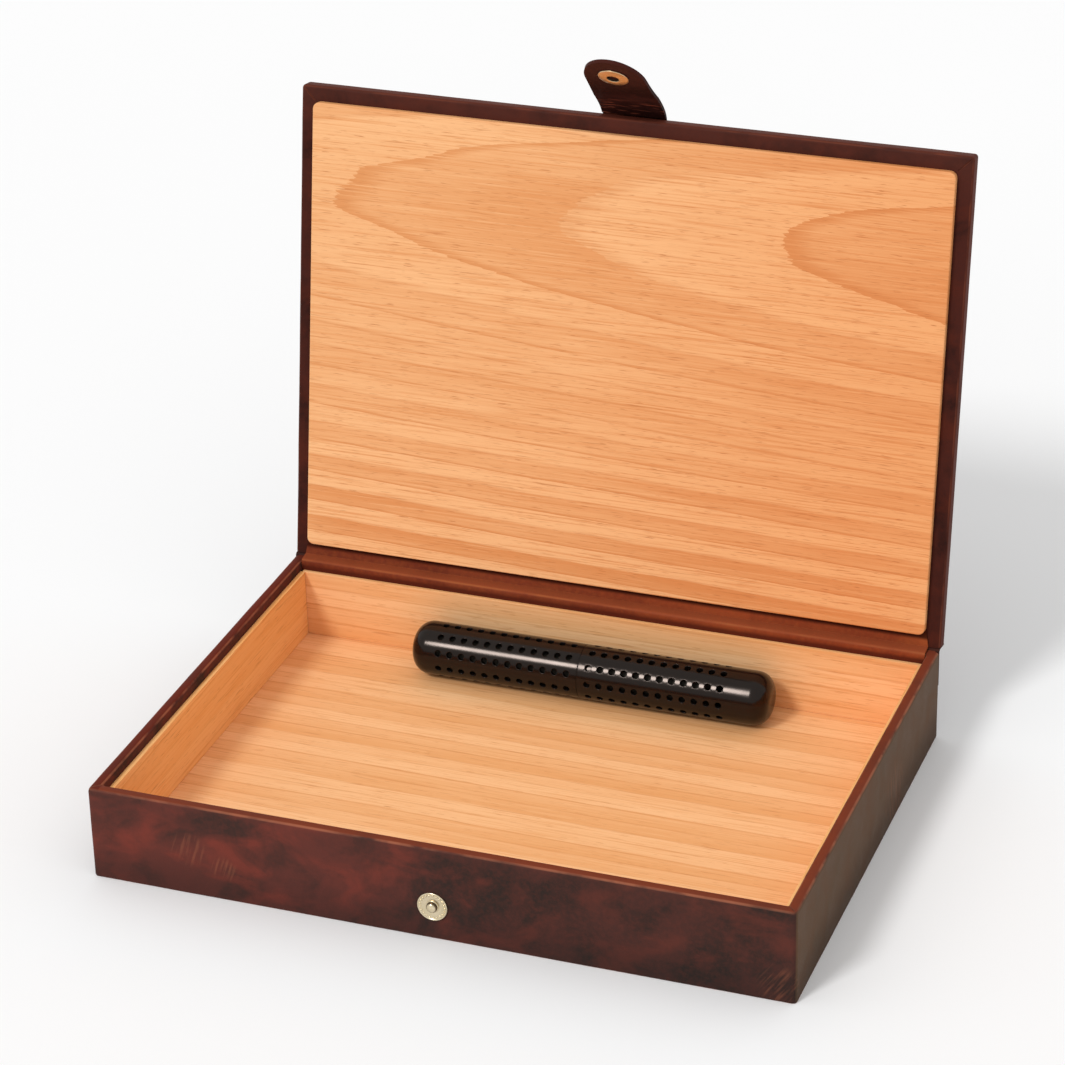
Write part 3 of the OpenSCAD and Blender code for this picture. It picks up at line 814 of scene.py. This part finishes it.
# Its last colour, #2a120d, is painted on the lid's right end face: painted shade, darker on that side, away
# from the lamp.
lid_leather = waxed_leather("waxed_cowhide_lid", "#42201a", "#2b1714", "#522419", "#5a2a1e", "#6e3a2a",
                            lid_open, (0.5, 0.1), (), lid_bands, None, None, "#2a120d")


def swing_open():
    """Swings the open piece, drawn on the closed lid, to where the lid stands open."""
    bpy.ops.mesh.select_all(action="SELECT")
    bpy.ops.transform.rotate(value=lid_open, orient_axis="X", orient_type="GLOBAL", center_override=hinge_at)


lid_cover = block("lid_leather_cover", Vector((-half_w, front_y, lid_in)), Vector((half_w, back_y, lid_out)))
pick("FACE", lambda m, f: f.normal.z < -0.9)
bpy.ops.mesh.inset(thickness=lid_border + panel_tuck)
bpy.ops.mesh.delete(type="FACE")
for side in (-1, 1):
    pick("FACE", lambda m, f: f.normal.z < -0.9 and m.y > back_y - lid_border - panel_tuck)
    bpy.ops.mesh.bisect(plane_co=(side * panel_x, 0, 0), plane_no=(1, 0, 0))
pick("FACE", lambda m, f: (
    f.normal.z < -0.9 and m.y > back_y - lid_border - panel_tuck and abs(m.x) < panel_x - near))
bpy.ops.mesh.delete(type="FACE")
round_off(lid_edge_r, 4, lambda m, e: len(e.link_faces) == 2 and (
    (upright(e) and same(abs(m.x), half_w) and same(m.y, front_y))
    or (not upright(e) and (same(abs(m.x), half_w) or same(m.y, front_y)))))
slice_up(0, -half_w, half_w, cut_step)
slice_up(1, front_y, back_y, cut_step)
close(lid_cover, ripple, skin)
for side in (-1, 1):
    score(lid_cover, Vector((side * half_w, front_y, lid_in)),
          Vector((side * panel_x, front_y + lid_border, lid_in)), lid_seam_w)
bpy.ops.object.mode_set(mode="EDIT")
swing_open()
close(lid_cover)
smooth(lid_cover)
fit(lid_cover, lid_leather, "lid", "leather", "lid_leather")

# Lid panel: one plain-sawn sheet of Spanish cedar glued inside the lid, with its corners rounded.
# Plain sawing shows the rings as nested tongues, which open to the right.
panel_raise = 2.7 * MM
panel_gap = 0.1 * MM
panel_corner_r = 2.5 * MM
panel_edge = 0.5 * MM
heart_u = 142 * MM
heart_depth = 75 * MM
heart_x = -110 * MM
heart_slope = -0.059
heart_shift = -0.7 * MM


def lid_plane(add):
    """Coordinates on the lid, with Y running to the hinge line, where it is nought."""
    turn = Matrix.Rotation(lid_open, 3, "X")
    place = add("TexCoord").outputs["Object"]
    return add("Mapping", {"Vector": place, "Rotation": (lid_open, 0, 0), "Location": -(turn @ hinge_at)})


def cathedral_rings(add, place):
    """Distance from the heart of the tree, which runs slantwise behind the panel."""
    split = add("SeparateXYZ", {0: place})
    across = add("Math", {0: split.outputs[1], 1: heart_u}, {"operation": "ADD"})
    depth = add("Math",
                {0: split.outputs[0], 1: heart_slope, 2: heart_depth - heart_slope * heart_x}, TIMES_PLUS)
    spoke = add("CombineXYZ", {0: across.outputs[0], 1: depth})
    distance = add("VectorMath", {0: spoke}, {"operation": "LENGTH"})
    return add("Math", {0: distance, 1: heart_shift}, {"operation": "ADD"})


# The panel darkens towards its right end by painted shade, away from the lamp.
panel_cedar = cedar("sanded_cedar_plain_sawn", lid_plane, cathedral_rings, "#f0ba85", "#d89056", "#b9703a",
                    ring=5.05 * MM, year_turn=3.0, bold=1.0, outline=0.25, wander=2.2 * MM,
                    ragged_by=0.4 * MM, pored=0.75, right_shade_share=0.55)
panel = block("lid_cedar_sheet",
              Vector((panel_gap - panel_x, panel_gap - panel_y, lid_in - panel_raise)),
              Vector((panel_x - panel_gap, panel_y - panel_gap, lid_in - glue_gap)))
round_off(panel_corner_r, 6, lambda m, e: upright(e))
round_off(panel_edge, 3, lambda m, e: same(m.z, lid_in - panel_raise))
swing_open()
close(panel)
smooth(panel)
fit(panel, panel_cedar, "lid", "cedar", "lid_cedar_panel")

# Closing tab: two plies of leather glued back to back. The outer ply is glued on the lid's outside and bends
# forward past its edge, and the inner one starts at that edge. Creases cross the bend.
tab_half = 11.9 * MM
tab_waist = 11.1 * MM
tab_root_l = 24 * MM
tab_root_r = 3 * MM
tip_reach = 11.2 * MM
tip_start = 3.2 * MM
tab_lean = math.radians(57)
tip_lean = math.radians(54)
calf_lean = math.radians(57.5)
tab_reach = fold_at.z - stud_at.z
leaf_t = 0.65 * MM
socket_slack = 0.5 * MM
socket_tuck = 0.6 * MM
bend_before = 3.6 * MM
bend_after = 12.5 * MM
crease_l = 11 * MM
crease_w = 1.6 * MM
crease_full = 6 * MM
crease_end = 14 * MM
flat_l = 3 * MM
calf_l = 15 * MM
tab_columns = 18
inner_start_y = front_y - 0.2 * MM
tab_bands = (("#562a22", fold_open.z + 9 * MM, fold_open.z + 22 * MM, 0.4),)
tab_leather = waxed_leather("waxed_cowhide_tab", "#2a120f", "#1c0f0d", "#42201a", "#54281f", "#48231b",
                            lid_open - tab_lean, (2.0, 3.0), (), tab_bands)
# Creases cross the leather where it bends, lighter on their crests
tree = tab_leather.node_tree
add = functools.partial(add_node, tree)
shader = next(node for node in tree.nodes if node.type == "BSDF_PRINCIPLED")
across = add("SeparateXYZ", {0: add("TexCoord").outputs["Object"]})
along = add("Attribute", settings={"attribute_name": "along"})
crease_at = add("CombineXYZ", {0: across.outputs[0], 1: along.outputs["Fac"]})
crease_scaled = add("Mapping", {"Vector": crease_at, "Scale": (1 / crease_l, 1 / crease_w, 1.0)})
creases = add("TexNoise", {"Vector": crease_scaled, "Scale": 1.0, "Detail": 1.0, "Distortion": 0.5})
crest = add("MapRange", {"Value": creases, "From Min": 0.52, "From Max": 0.66}, SMOOTH)
bent = add("MapRange",
           {"Value": along.outputs["Fac"], "From Min": crease_end, "From Max": crease_full}, SMOOTH)
creased = add("Math", {0: crest, 1: bent}, TIMES)
creased_colour = add("Mix",
                     {0: creased, 6: shader.inputs["Base Color"].links[0].from_socket, 7: "#743a2a"}, RGBA)
crease_relief = add("Bump",
                    {"Height": creased, "Strength": 0.8, "Distance": 0.3 * MM,
                     "Normal": shader.inputs["Normal"].links[0].from_socket})
tree.links.new(creased_colour.outputs[2], shader.inputs["Base Color"])
tree.links.new(crease_relief.outputs[0], shader.inputs["Normal"])

ahead = Vector((-1, 0))
tongue = Vector((-math.cos(tab_lean), -math.sin(tab_lean)))
inward = Vector((-tongue.y, tongue.x))
fold = Vector((fold_at.y, fold_at.z))
seat = fold + tongue * (tab_reach - socket_slack) + inward * (1.5 * ply_t + socket_tuck)


def heading_at(lean):
    """Direction of the tab, leaning down from the lid's plane."""
    return Vector((-math.cos(lean), -math.sin(lean)))


def tab_line():
    """Points of the glue line between the plies, each with its heading, half width and way along the line.

    The line is followed back from the socket, where the tab lies flatter, to the lid's plane, and the corner
    that it makes there is rounded off."""
    step = 0.8 * MM
    root_steps, flat_steps, bend_steps = 6, 10, 16
    at = seat - Vector((math.sin(tip_lean), -math.cos(tip_lean))) * leaf_t
    free = []
    back = 0.0
    while at.y < lid_out:
        turn = min(max((back - flat_l) / calf_l, 0.0), 1.0)
        heading = heading_at(tip_lean + (calf_lean - tip_lean) * turn * turn * (3 - 2 * turn))
        free.insert(0, (at.copy(), heading, back))
        at -= heading * step
        back += step
    corner = at
    start = corner - ahead * bend_before
    end = next(p for p, h, b in free if (p - corner).length > bend_after)
    points = []
    first_y = front_y + tab_root_l
    for i in range(root_steps + 1):
        a = math.pi / 2 * i / root_steps
        points.append((Vector((first_y - tab_root_r * (1 - math.cos(a)), lid_out)), ahead,
                       tab_half - tab_root_r * (1 - math.sin(a))))
    last_y = points[-1][0].x
    for i in range(1, flat_steps + 1):
        points.append((Vector((last_y + (start.x - last_y) * i / flat_steps, lid_out)), ahead, tab_half))
    for i in range(1, bend_steps + 1):
        t = i / bend_steps
        spot = start * (1 - t) ** 2 + corner * 2 * t * (1 - t) + end * t ** 2
        heading = ((corner - start) * (1 - t) + (end - corner) * t).normalized()
        points.append((spot, heading, tab_half))
    for spot, heading, to_seat in free:
        if (spot - corner).length > bend_after + step and to_seat > tip_start:
            share = to_seat / (back - bend_after)
            points.append((spot, heading, tab_waist + (tab_half - tab_waist) * share * share))
    tip = heading_at(tip_lean)
    tip_from, tip_l = free[-1][0] - tip * tip_start, tip_reach + tip_start
    for i in range(1, bend_steps + 1):
        a = math.radians(88) * i / bend_steps
        points.append((tip_from + tip * tip_l * math.sin(a), tip, tab_waist * math.cos(a)))
    way = 0.0
    line = []
    for i, (spot, heading, half) in enumerate(points):
        if i:
            way += (spot - points[i - 1][0]).length
        line.append((spot, heading, half, way))
    return line, start, end


def ply(name, rows, columns):
    """A ply of leather drawn row by row from (y, z, half width), open for editing."""
    y, z, half = rows[0]
    piece = profile(name, [(half * (2 * i / columns - 1), y, z) for i in range(columns + 1)])
    for before, after in zip(rows, rows[1:]):
        pull_out((0, after[0] - before[0], after[1] - before[1]))
        bpy.ops.transform.resize(value=(after[2] / before[2], 1, 1), center_override=(0, after[0], after[1]))
    return piece


whole_line, bend_start, bend_end = tab_line()
soft_rim = ("BEVEL", {"width": cut_edge, "segments": 2, "limit_method": "ANGLE",
                      "angle_limit": math.radians(55)})
free_line = [point for point in whole_line if point[0].x < inner_start_y]
for name, line, side, nodes in (("tab_outer_ply", whole_line, -0.5, ("tab_root", "tab_strap")),
                                ("tab_inner_ply", free_line, 0.5, ("tab_lining",))):
    rows = []
    for at, heading, half, way in line:
        spot = at + Vector((-heading.y, heading.x)) * side * leaf_t
        rows.append((spot.x, spot.y, half))
    leaf = ply(name, rows, tab_columns)
    bpy.ops.object.mode_set(mode="OBJECT")
    ways = leaf.data.attributes.new("along", "FLOAT", "POINT")
    for v in leaf.data.vertices:
        nearest = min(range(len(rows)), key=lambda i: math.hypot(v.co.y - rows[i][0], v.co.z - rows[i][1]))
        past_edge = line[nearest][3] - tab_root_l
        ways.data[v.index].value = max(past_edge, -3 * past_edge)
    bpy.ops.object.mode_set(mode="EDIT")
    swing_open()
    close(leaf, ripple, ("SOLIDIFY", {"thickness": leaf_t, "offset": 0}), soft_rim)
    smooth(leaf, 50.0)
    cover(leaf, tab_leather)
    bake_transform(leaf)
    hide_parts(*nodes)

# Socket of the press stud: a plated brass ring on the tab's inner face, held by a domed cap on the outside.
# A ring spring in its mouth grips the stud's head, and the cap's post is spread inside.
socket_r = 5.5 * MM
socket_h = 0.95 * MM
mouth_r = 2.15 * MM
mouth_round = 0.25 * MM
cap_r = 6.0 * MM
cap_h = 1.8 * MM
cap_lip = 0.35 * MM
on_tab = swing @ Matrix.Translation(fold_at) @ Matrix.Rotation(tab_lean - math.pi / 2, 4, "X")
on_lining = (on_tab @ Matrix.Translation((0, 1.5 * ply_t, -tab_reach))
             @ Matrix.Rotation(-math.pi / 2, 4, "X")
             @ Matrix.Translation((0, -socket_slack, socket_tuck))
             @ Matrix.Rotation(tip_lean - tab_lean, 4, "X"))
socket_brass = plated_brass("warm_plated_brass", "#e0c6a4", "#d0b088", 0.3, on_lining.translation,
                            on_lining.to_3x3().col[2], post_r)
socket_outline = (
    [(mouth_r + 0.5 * MM, 0), (socket_r - 0.2 * MM, 0)]
    + arc((socket_r - 0.3 * MM, 0.3 * MM), 0.3 * MM, -60, 75, 6)
    + [(socket_r - 1.0 * MM, 0.74 * MM), (socket_r - 1.9 * MM, 0.92 * MM), (mouth_r + 0.7 * MM, socket_h)]
    + arc((mouth_r + mouth_round, socket_h - mouth_round), mouth_round, 90, 240, 6)
    + [(mouth_r + 0.5 * MM, socket_h - 0.5 * MM), (mouth_r + 0.5 * MM, 0)]
)
socket = lathed("press_stud_socket", socket_outline, on_lining)
fit(socket, socket_brass, "tab", "nickel", "snap_socket")
dome = (cap_r ** 2 + cap_h ** 2) / (2 * cap_h)
dome_span = math.asin((cap_r - cap_lip) / dome)
cap_outline = (
    [(0, 0), (cap_r - cap_lip, 0)]
    + arc((cap_r - cap_lip, cap_lip), cap_lip, -90, 60, 6)
    + [(dome * math.sin(dome_span * (1 - i / 8)), cap_h - dome + dome * math.cos(dome_span * (1 - i / 8)))
       for i in range(1, 9)]
)
cap = lathed("press_stud_cap", cap_outline,
             on_lining @ Matrix.Translation((0, 0, -2 * leaf_t)) @ Matrix.Rotation(math.pi, 4, "X"))
fit(cap, stud_plating, "tab", "nickel", "snap_cap")
# The spring's dark colour is partly the steel's own and partly painted shade, which darkens the socket's
# mouth.
spring_steel = plated_brass("blued_spring_steel_and_painted_shade", "#3a2c28", "#2a211e", 0.4, on_lining.translation,
                            on_lining.to_3x3().col[2], post_r)
cover(frame["nodes"]["snap_spring"], spring_steel)

# Humidifier: a moulded black tube in two halves, which push together on a spigot round an absorbent stick.
# Each half is rolled from a sheet with its rows of vents, and its closed end is drawn in and rounded.
tube_r = 10 * MM
tube_wall = 1.4 * MM
tube_end_r = 6.5 * MM
vent_r = 1.2 * MM
vent_pitch = 4.55 * MM
vent_count = 12
vent_rows = 10
vent_start = 4 * MM
vent_round = 0.22 * MM
vent_profile = 0.086
vent_cuts = (-0.5, -0.37, -0.25, 0, 0.25, 0.37)
end_steps = 8
half_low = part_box("humidifier_tube")[0]
pull_low, pull_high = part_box("humidifier_cap")
seam_x = pull_low.x
tube_axis = Vector((0, (pull_low.y + pull_high.y) / 2, (pull_low.z + pull_high.z) / 2))
tube_turn = Matrix.Rotation(math.pi / 2, 4, "Y")


def gloss_plastic(name):
    """Moulded ABS: near-black and glossy, with faint flow waves, dust and hair scratches."""
    flow = 9 * MM
    dust = 0.5 * MM
    material, add = new_material(name)
    place = add("TexCoord").outputs["Object"]
    waves = add("TexNoise", {"Vector": place, "Scale": 1 / flow, "Detail": 3.0})
    specks = add("TexNoise", {"Vector": place, "Scale": 1 / dust, "Detail": 2.0})
    dusty = add("MapRange", {"Value": specks, "From Min": 0.66, "From Max": 0.8, "To Max": 0.5})
    colour = add("Mix", {0: dusty, 6: "#0d0a09", 7: "#1c1613"}, RGBA)
    relief = add("Bump", {"Height": waves, "Strength": 0.1, "Distance": 0.15 * MM})
    gloss = add("MapRange",
                {"Value": waves, "From Min": 0.3, "From Max": 0.7, "To Min": 0.15, "To Max": 0.19})
    shader = add("BsdfPrincipled",
                 {"Base Color": colour, "Roughness": gloss, "IOR": 1.53, "Specular IOR Level": 0.3,
                  "Specular Tint": "#ffeade", "Normal": relief})
    add("OutputMaterial", {"Surface": shader})
    return material


black_abs = gloss_plastic("moulded_black_abs")


def tube_half(name, length, side, turn):
    """Half of the tube from the seam to its closed end on one side, its vent rows turned by an angle."""
    girth = 2 * math.pi * tube_r
    pitch = girth / vent_rows
    straight = length - tube_end_r
    bpy.ops.mesh.primitive_plane_add(size=1, location=(straight / 2, girth / 2, 0))
    bpy.context.object.scale = (straight, girth, 1)
    bpy.ops.object.transform_apply()
    piece = open_new(name)
    middles = [vent_start + vent_pitch * i for i in range(vent_count)]
    lines = middles + [m + vent_pitch / 2 for m in middles] + [vent_start - vent_pitch / 2]
    for x in lines:
        cut(0, x)
    for row in range(vent_rows):
        for off in vent_cuts:
            y = pitch * (row + 0.5 + off)
            if y > near:
                cut(1, y)

    def from_vent(m):
        """Where a point of the flat sheet lies from the middle of the nearest vent."""
        row = min(vent_rows - 1, max(0, math.floor(m.y / pitch)))
        middle = min(middles, key=lambda x: abs(m.x - x))
        return Vector((m.x - middle, m.y - pitch * (row + 0.5), 0))

    pick("VERT", lambda m, v: from_vent(m).length < near)
    bpy.ops.mesh.bevel(affect="VERTICES", offset=vent_r, segments=4, profile=vent_profile)
    pick("FACE", lambda m, f: all(from_vent(v.co).length < vent_r * 1.02 for v in f.verts))
    bpy.ops.mesh.delete(type="FACE")
    form = bmesh.from_edit_mesh(piece.data)
    for v in form.verts:
        off = from_vent(v.co)
        if off.length < vent_r * 1.1:
            v.co += off.normalized() * (vent_r - off.length)
        angle = turn + v.co.y / tube_r - math.pi / vent_rows
        v.co = Vector((seam_x + side * v.co.x, tube_axis.y + tube_r * math.sin(angle),
                       tube_axis.z - tube_r * math.cos(angle)))
    bmesh.update_edit_mesh(piece.data)
    bpy.ops.mesh.select_all(action="SELECT")
    bpy.ops.mesh.remove_doubles(threshold=near)
    end_x = seam_x + side * straight
    pick("EDGE", lambda m, e: all(same(v.co.x, end_x) for v in e.verts))
    ring_r = tube_r
    for i in range(1, end_steps + 1):
        a = math.pi / 2 * i / end_steps
        x = end_x + side * tube_end_r * math.sin(a)
        before = end_x + side * tube_end_r * math.sin(math.pi / 2 * (i - 1) / end_steps)
        radius = tube_r - tube_end_r * (1 - math.cos(a))
        pull_out((x - before, 0, 0))
        bpy.ops.transform.resize(value=(1, radius / ring_r, radius / ring_r),
                                 center_override=(x, tube_axis.y, tube_axis.z))
        ring_r = radius
    bpy.ops.mesh.edge_face_add()
    bpy.ops.mesh.inset(thickness=0.4 * ring_r)
    bpy.ops.mesh.select_all(action="SELECT")
    bpy.ops.mesh.normals_make_consistent(inside=False)
    close(piece, ("SOLIDIFY", {"thickness": tube_wall, "offset": -1}))
    bpy.ops.object.mode_set(mode="EDIT")

    def at_rim(m, e):
        """Whether an edge is a sharp one on the outside, round a vent or the open end."""
        outer = all(same(math.hypot(v.co.y - tube_axis.y, v.co.z - tube_axis.z), tube_r) for v in e.verts)
        return outer and len(e.link_faces) == 2 and e.calc_face_angle(0) > math.radians(60)

    round_off(vent_round, 2, at_rim)
    close(piece)
    smooth(piece, 50.0)
    return piece


tube = tube_half("humidifier_tube_shell", seam_x - half_low.x, -1, math.radians(35))
fit(tube, black_abs, "humidifier", "black_plastic", "humidifier_tube")
pull_off = tube_half("humidifier_cap_shell", pull_high.x - seam_x, 1, math.radians(16))
fit(pull_off, black_abs, "humidifier_pull", "black_plastic", "humidifier_cap")
spigot_r = tube_r - tube_wall - 0.15 * MM
spigot_wall = 1.0 * MM
spigot_reach = 7 * MM
spigot_root = 2 * MM
spigot_outline = [
    (spigot_r + 0.1 * MM, -spigot_root), (spigot_r + 0.1 * MM, -0.2 * MM),
    (spigot_r, 0), (spigot_r, spigot_reach - 0.5 * MM),
    (spigot_r - 0.3 * MM, spigot_reach), (spigot_r - spigot_wall, spigot_reach),
    (spigot_r - spigot_wall, -spigot_root), (spigot_r + 0.1 * MM, -spigot_root)]
spigot = lathed("humidifier_spigot", spigot_outline,
                Matrix.Translation((seam_x, tube_axis.y, tube_axis.z)) @ tube_turn)
fit(spigot, black_abs, "humidifier", "black_plastic")

# Absorbent stick: a rod of stiff green-brown florist's foam, cut square, which holds the water in the tube.
# It shows only through the vents and when the tube is pulled apart.
core_low, core_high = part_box("humidifier_core")
core_r = (core_high.z - core_low.z) / 2
core_round = 3.0 * MM
foam_cell = 0.5 * MM
pit_l = 2 * MM
pit_h = 0.25 * MM
stiff_foam, add = new_material("stiff_absorbent_foam")
place = add("TexCoord").outputs["Object"]
cells = add("TexVoronoi", {"Vector": place, "Scale": 1 / foam_cell})
colour = add("Mix", {0: cells, 6: "#2a2622", 7: "#4a443a"}, RGBA)
relief = add("Bump", {"Height": cells, "Strength": 0.6, "Distance": 0.2 * MM})
shader = add("BsdfPrincipled", {"Base Color": colour, "Roughness": 0.95, "Normal": relief})
add("OutputMaterial", {"Surface": shader})
core_l = core_high.x - core_low.x
core_outline = (
    [(0, 0)] + arc((core_r - core_round, core_round), core_round, -90, 0, 6)
    + [(core_r, core_l * i / 12) for i in range(1, 12)]
    + [(core_r, core_l - 0.5 * MM), (core_r - 0.5 * MM, core_l), (0, core_l)])
foam_pits = bpy.data.textures.new("foam_pits", "CLOUDS")
foam_pits.noise_scale = pit_l
pitted = ("DISPLACE", {"texture": foam_pits, "texture_coords": "LOCAL", "strength": pit_h, "mid_level": 1.0})
core = lathed("absorbent_stick", core_outline,
              Matrix.Translation((core_low.x, tube_axis.y, tube_axis.z)) @ tube_turn,
              pitted, steps=48, angle=60.0)
fit(core, stiff_foam, "humidifier", "foam", "humidifier_core")
